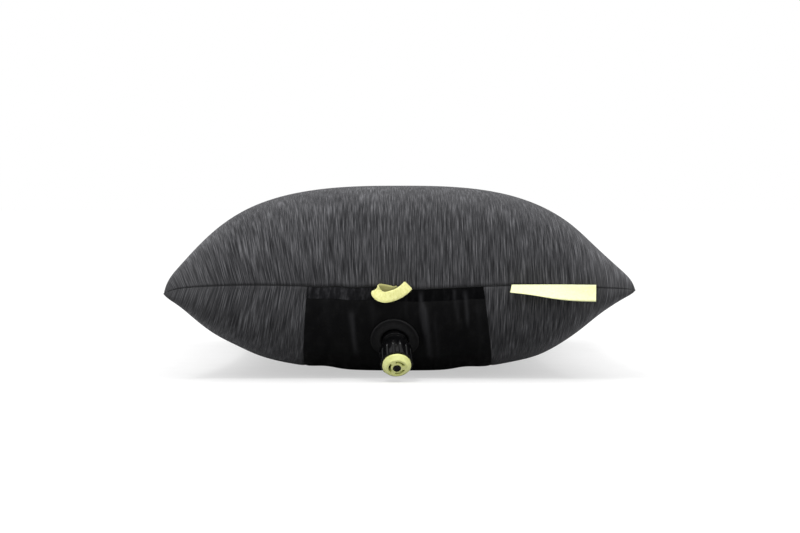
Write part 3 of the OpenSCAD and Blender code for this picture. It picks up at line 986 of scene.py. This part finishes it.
def inner_shell(name, slot, inset, thickness, sides, nodes):
    """A soft layer inside the cover, never seen, open around the valve."""
    vs = v_steps(-0.995, 0.995, 60)
    points, faces = [], []
    for side in sides:
        u, v, _ = strip(None, None, 40, vs)
        u = u * 0.985
        faces += (grid_faces(*u.shape, flip=side == BELLY) + len(points) * u.size).tolist()
        points.append(base_skin(u, v, side, inset))
    points = np.concatenate([p.reshape(-1, 3) for p in points])
    obj = new_object(name, points, off_valve(points, faces, 12 * MM), slot)
    thick = obj.modifiers.new("thickness", "SOLIDIFY")
    thick.thickness = thickness
    thick.offset = -1
    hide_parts(*nodes)


seam_binding()
inner_shell("comfort_pad", "foam", 4 * MM, 4 * MM, [TOP], ["comfort_layer"])
inner_shell(
    "air_bladder", "bladder_film", 10 * MM, 0.8 * MM, [TOP, BELLY], ["bladder_top", "bladder_bottom"]
)

# ---------------------------------------------------------------- label and loop


def ribbon(name, body, node, centre, across, width, thickness):
    """A webbing strip: centre points, the direction of its width at each, and rounded edges."""
    n = len(centre)
    along = np.gradient(centre, axis=0)
    along /= np.linalg.norm(along, axis=1, keepdims=True)
    across = across - (across * along).sum(1, keepdims=True) * along
    across /= np.linalg.norm(across, axis=1, keepdims=True)
    out = np.cross(along, across)
    steps = 12
    a = np.linspace(-1, 1, steps + 1)
    t = np.sqrt(np.clip(1 - np.abs(a) ** 8, 0.0, 1)) * thickness / 2
    sheet = centre[:, None] + across[:, None] * (a * width / 2)[None, :, None]
    half = out[:, None] * t[None, :, None]
    loop = np.concatenate([sheet + half, (sheet - half)[:, ::-1]], axis=1)
    cols = loop.shape[1]
    faces = grid_faces(n, cols, wrap_cols=True).tolist()
    faces += [list(range(cols)), [(n - 1) * cols + k for k in range(cols - 1, -1, -1)]]
    obj = new_object(name, loop, faces, "lime_webbing", body)
    run = np.concatenate([[0], np.cumsum(np.linalg.norm(np.diff(centre, axis=0), axis=1))])
    # The outer face's coordinates are offset, so that the material can tell it from the inner face, which
    # it darkens with painted shade
    side = np.concatenate([a, a[::-1] + 2.5]) * width / 2
    set_uv(obj, np.stack(np.broadcast_arrays(run[:, None], side[None, :]), axis=-1))
    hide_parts(node)


def spline(points, n):
    """A smooth curve through points (Catmull-Rom)."""
    p = np.asarray(points, float)
    p = np.vstack([2 * p[0] - p[1], p, 2 * p[-1] - p[-2]])
    spans = len(p) - 3
    t = np.linspace(0, spans - 1e-9, n)
    i = t.astype(int)
    f = (t - i)[:, None]
    a, b, c, d = p[i], p[i + 1], p[i + 2], p[i + 3]
    return 0.5 * (2 * b + (c - a) * f + (2 * a - 5 * b + 4 * c - d) * f**2 + (3 * b - a - 3 * c + d) * f**3)


def hang_loop():
    """The webbing loop: it leaves the seam on the right, sweeps out to the left and comes back."""
    seam_y = -plan_l(0.0)
    shape = (  # across, out from the seam, above the seam, in millimetres, and the band's lean
        (5.2, 0.8, 1.2, (-0.65, 0.10, 0.75)),
        (2.6, 3.2, -1.2, (-0.50, 0.05, 0.85)),
        (-0.8, 5.8, -3.4, (-0.25, 0.00, 1.00)),
        (-5.0, 8.4, -4.9, (0.00, 0.15, 1.00)),
        (-9.2, 9.2, -5.5, (0.15, 0.30, 1.00)),
        (-12.6, 8.4, -4.2, (0.55, 0.25, 0.80)),
        (-13.9, 6.6, -1.9, (0.80, 0.10, 0.60)),
        (-12.6, 5.0, -0.7, (0.50, -0.20, 0.85)),
        (-9.8, 4.4, -1.0, (0.10, -0.30, 1.00)),
        (-6.6, 3.8, -1.7, (0.00, -0.20, 1.00)),
        (-4.0, 2.4, -2.5, (0.00, -0.10, 1.00)),
        (-1.6, -0.9, -2.2, (0.00, 0.00, 1.00)),
    )
    centre = spline([(x * MM, seam_y - y * MM, SEAM_Z + z * MM) for x, y, z, _ in shape], 90)
    across = spline([lean for _, _, _, lean in shape], 90)
    ribbon("hang_loop_webbing", "hang_loop", "hang_loop", centre, across, 6.6 * MM, 1.5 * MM)


def side_label():
    """The folded label: it droops more at its right end, and its face is plain."""
    hinge = joint("label_flip")
    axis = unit(hinge["axis"])
    middle = np.array(hinge["pos_m"])
    length = 50.4 * MM
    depth = 9.3 * MM
    droop_left, droop_gain = 22, 60
    n, m = 60, 14
    s = np.linspace(-0.5, 0.5, n)
    root = middle + axis * (s * length + 0.9 * MM)[:, None] + np.array([0, 0, 1.2 * MM])
    out = np.cross(axis, [0, 0, 1.0])
    droop = np.radians(droop_left + droop_gain * (s + 0.5) + 3 * np.sin(7 * s))
    t = np.linspace(-0.08, 1, m + 1)
    curl = 0.5 * MM * np.sin(np.pi * np.clip(t, 0, 1))
    rows = []
    for sign in (1, -1):
        thick = 0.45 * MM * (1 - np.clip((t - 0.86) / 0.14, 0, 1) ** 2.2) * sign
        fall = out * np.cos(droop)[:, None] + np.array([0, 0, -1.0]) * np.sin(droop)[:, None]
        face = np.cross(axis, fall)
        p = root[:, None] + fall[:, None] * (t * depth)[None, :, None]
        p = p + face[:, None] * (thick + curl)[None, :, None]
        rows.append(p if sign == 1 else p[:, ::-1])
    loop = np.concatenate([rows[0], rows[1][:, 1:]], axis=1)
    cols = loop.shape[1]
    faces = grid_faces(n, cols, wrap_cols=True, flip=True).tolist()
    faces += [list(range(cols))[::-1], [(n - 1) * cols + k for k in range(cols)]]
    obj = new_object("side_label_fold", loop, faces, "label_fabric", "side_label")
    run = np.cumsum(np.linalg.norm(np.diff(loop, axis=1, prepend=loop[:, :1]), axis=-1), axis=1)
    set_uv(obj, np.stack([np.broadcast_to((s * length)[:, None], run.shape), run], axis=-1))
    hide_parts("side_label")


hang_loop()
side_label()

# ---------------------------------------------------------------- valve and other CAD nodes

SLOTS = {entry["node"]: entry["material_slot"] for entry in frame["record"]["subparts"]}

# How far the edges of the visible valve pieces are rounded, in millimetres
ROUNDED = {"mouthpiece": 0.7, "valve_collar": 0.35, "valve_neck": 0.3, "valve_stopper": 0.25}

for node_name, node in frame["nodes"].items():
    if node.hide_render:
        continue
    material = MATERIALS.get(SLOTS.get(node_name))
    if material is not None:
        node.data.materials.clear()
        node.data.materials.append(material)
    if node_name in ROUNDED:
        weld = node.modifiers.new("weld", "WELD")
        weld.merge_threshold = 0.005 * MM
        bevel = node.modifiers.new("round", "BEVEL")
        bevel.width = ROUNDED[node_name] * MM
        bevel.segments = 4
        bevel.limit_method = "ANGLE"
        bevel.angle_limit = math.radians(32)
        bevel.harden_normals = False

# ---------------------------------------------------------------- stage, light and camera

FLOOR_GLOW = 0.52
SKY_LOW, SKY_HIGH = 0.7, 1.6
CAMERA_LENS = 98.8
CAMERA_DISTANCE = 1.3
CAMERA_RISE = 50 * MM
CAMERA_PITCH = 1.63
PILLOW_MIDDLE = (0, 0, 0.05)
PILLOW_FRONT = (0, -0.1, 0.05)


def stage():
    """A pale floor. Only the camera sees its glow, which keeps the shadow light."""
    size = 30.0
    mesh = bpy.data.meshes.new("floor")
    corners = [(-size, -size, 0), (size, -size, 0), (size, size, 0), (-size, size, 0)]
    mesh.from_pydata(corners, [], [(0, 1, 2, 3)])
    s = Shader("floor")
    seen = s.add("ShaderNodeLightPath").outputs["Is Camera Ray"]
    grain = s.noise(s.stretched(s.place(), 40, 40, 40), 1.0)
    pale = s.ramp(grain, (0.3, rgb(172, 172, 172)), (0.7, rgb(175, 175, 175)))
    glow = s.math("MULTIPLY", seen, FLOOR_GLOW)
    white = (1.0, 1.0, 1.0, 1.0)
    floor_material = s.finish(
        pale.outputs[0], 0.9, specular_ior_level=0.0, emission_color=white, emission_strength=glow
    )
    mesh.materials.append(floor_material)
    floor = bpy.data.objects.new("floor", mesh)
    bpy.context.collection.objects.link(floor)


def area_light(name, at, aim, size, power):
    data = bpy.data.lights.new(name, "AREA")
    data.energy = power
    data.size = size
    light = bpy.data.objects.new(name, data)
    light.location = at
    light.rotation_euler = (Vector(aim) - Vector(at)).to_track_quat("-Z", "Y").to_euler()
    bpy.context.collection.objects.link(light)


def world():
    """Soft studio light, brighter from above; the camera sees a plain white backdrop."""
    data = bpy.data.worlds.new("studio")
    data.use_nodes = True
    tree = data.node_tree
    back = tree.nodes["Background"]
    where = tree.nodes.new("ShaderNodeTexCoord")
    parts = tree.nodes.new("ShaderNodeSeparateXYZ")
    sky = tree.nodes.new("ShaderNodeMapRange")
    path = tree.nodes.new("ShaderNodeLightPath")
    choose = tree.nodes.new("ShaderNodeMix")
    sky.inputs["To Min"].default_value = SKY_LOW
    sky.inputs["To Max"].default_value = SKY_HIGH
    choose.inputs[3].default_value = 1.0
    tree.links.new(where.outputs["Generated"], parts.inputs[0])
    tree.links.new(parts.outputs[2], sky.inputs["Value"])
    tree.links.new(path.outputs["Is Camera Ray"], choose.inputs[0])
    tree.links.new(sky.outputs[0], choose.inputs[2])
    tree.links.new(choose.outputs[0], back.inputs[1])
    back.inputs[0].default_value = (1, 1, 1, 1)
    bpy.context.scene.world = data


def camera():
    """Looks at the valve end, from just below the height of the pillow's top."""
    data = bpy.data.cameras.new("camera")
    cam = bpy.data.objects.new("camera", data)
    bpy.context.collection.objects.link(cam)
    data.sensor_width = 36
    data.lens = CAMERA_LENS
    data.clip_start = 0.05
    cam.location = (0.0003, -HALF_L - CAMERA_DISTANCE, SEAM_Z + CAMERA_RISE)
    cam.rotation_euler = (math.radians(90 - CAMERA_PITCH), 0, 0)
    bpy.context.scene.camera = cam


stage()
world()
area_light("key", (-0.45, -1.3, 1.6), PILLOW_FRONT, size=0.28, power=9)
area_light("fill", (0.9, -1.1, 1.4), PILLOW_FRONT, size=0.28, power=5)
area_light("left", (-1.7, -0.6, 0.3), PILLOW_MIDDLE, size=0.8, power=4.5)
area_light("right", (1.7, -0.6, 0.3), PILLOW_MIDDLE, size=0.8, power=5)
camera()
bpy.context.scene.view_settings.view_transform = "Standard"
